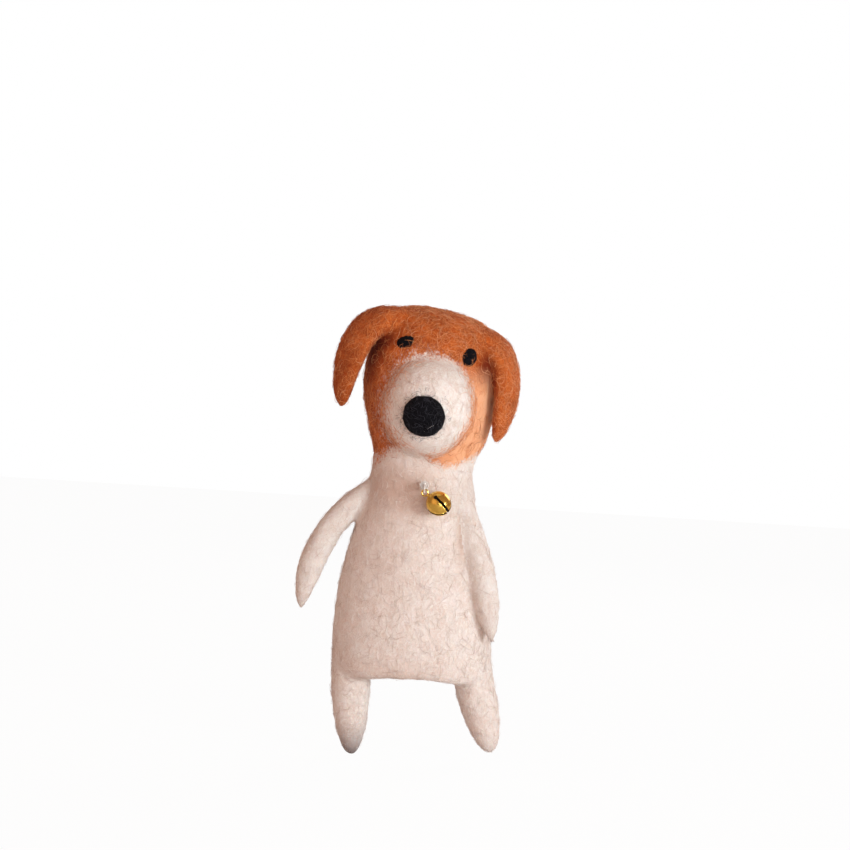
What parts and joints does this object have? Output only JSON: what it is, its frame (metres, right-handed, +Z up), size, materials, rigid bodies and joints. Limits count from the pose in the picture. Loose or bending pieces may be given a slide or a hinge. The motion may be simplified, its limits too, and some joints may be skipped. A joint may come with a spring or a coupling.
{
  "type": "felt dog finger puppet",
  "caption": "Small felted wool dog that fits on a finger, with a finger pocket, floppy ears, soft arms and legs, and a tiny jingle bell on its chest.",
  "frame": {"origin": "centre of the finger pocket's mouth, in the plane of the hem", "axes": "+Z up through the neck, the face towards -Y, the puppet's left side towards +X"},
  "size_m": [0.0535, 0.0412, 0.1126],
  "materials": {
    "white_felt": "matte needle-felted wool with loose fibres, warm white",
    "ginger_felt": "matte needle-felted wool with pale loose fibres, orange brown",
    "black_felt": "matte needle-felted wool, black",
    "cotton_thread": "matte twisted sewing thread, white",
    "bell_brass": "polished and lacquered, golden",
    "pellet_steel": "plain"
  },
  "bodies": {
    "root": {"body_shell": "white_felt", "bell_thread": "cotton_thread", "thread_wrap": "cotton_thread"},
    "head": {"head_core": "white_felt", "head_coat": "ginger_felt", "muzzle": "white_felt", "nose": "black_felt", "eye_left": "black_felt", "eye_right": "black_felt"},
    "ear_left": {"ear_left": "ginger_felt"},
    "ear_right": {"ear_right": "ginger_felt"},
    "arm_left": {"arm_left": "white_felt"},
    "arm_right": {"arm_right": "white_felt"},
    "leg_left": {"leg_left": "white_felt"},
    "leg_right": {"leg_right": "white_felt"},
    "bell": {"bell_shell": "bell_brass", "bell_eye": "bell_brass"},
    "pellet": {"bell_pellet": "pellet_steel"}
  },
  "joints": [
    {"name": "head_nod", "type": "hinge", "parent": "root", "child": "head", "pos_m": [-0.0008, 0, 0.05], "axis": [1, 0, 0], "range_deg": [-20, 15], "stiffness_Nm_per_rad": 0.05},
    {"name": "ear_left_lift", "type": "hinge", "parent": "head", "child": "ear_left", "pos_m": [0.01598, -0.003, 0.08521], "axis": [-0.634, -0.766, 0.1061], "range_deg": [0, 70], "stiffness_Nm_per_rad": 0.003},
    {"name": "ear_right_lift", "type": "hinge", "parent": "head", "child": "ear_right", "pos_m": [-0.01132, -0.003, 0.08978], "axis": [-0.634, 0.766, 0.1061], "range_deg": [0, 70], "stiffness_Nm_per_rad": 0.003},
    {"name": "arm_left_lift", "type": "hinge", "parent": "root", "child": "arm_left", "pos_m": [0.01292, -0.00841, 0.045], "axis": [0, -1, 0], "range_deg": [0, 80], "stiffness_Nm_per_rad": 0.006},
    {"name": "arm_right_lift", "type": "hinge", "parent": "root", "child": "arm_right", "pos_m": [-0.01749, -0.00152, 0.045], "axis": [0, 1, 0], "range_deg": [0, 80], "stiffness_Nm_per_rad": 0.006},
    {"name": "leg_left_swing", "type": "hinge", "parent": "root", "child": "leg_left", "pos_m": [0.01605, -0.0015, -0.002], "axis": [-1, 0, 0], "range_deg": [-30, 40], "stiffness_Nm_per_rad": 0.006},
    {"name": "leg_right_swing", "type": "hinge", "parent": "root", "child": "leg_right", "pos_m": [-0.01485, -0.0015, -0.002], "axis": [-1, 0, 0], "range_deg": [-30, 40], "stiffness_Nm_per_rad": 0.006},
    {"name": "bell_swing", "type": "hinge", "parent": "root", "child": "bell", "pos_m": [0.00012, -0.01562, 0.0474], "axis": [0, 1, 0], "range_deg": [-15, 125]},
    {"name": "pellet_roll", "type": "slide", "parent": "bell", "child": "pellet", "axis": [0, 0, 1], "range_m": [0, 0.0022]}
  ]
}
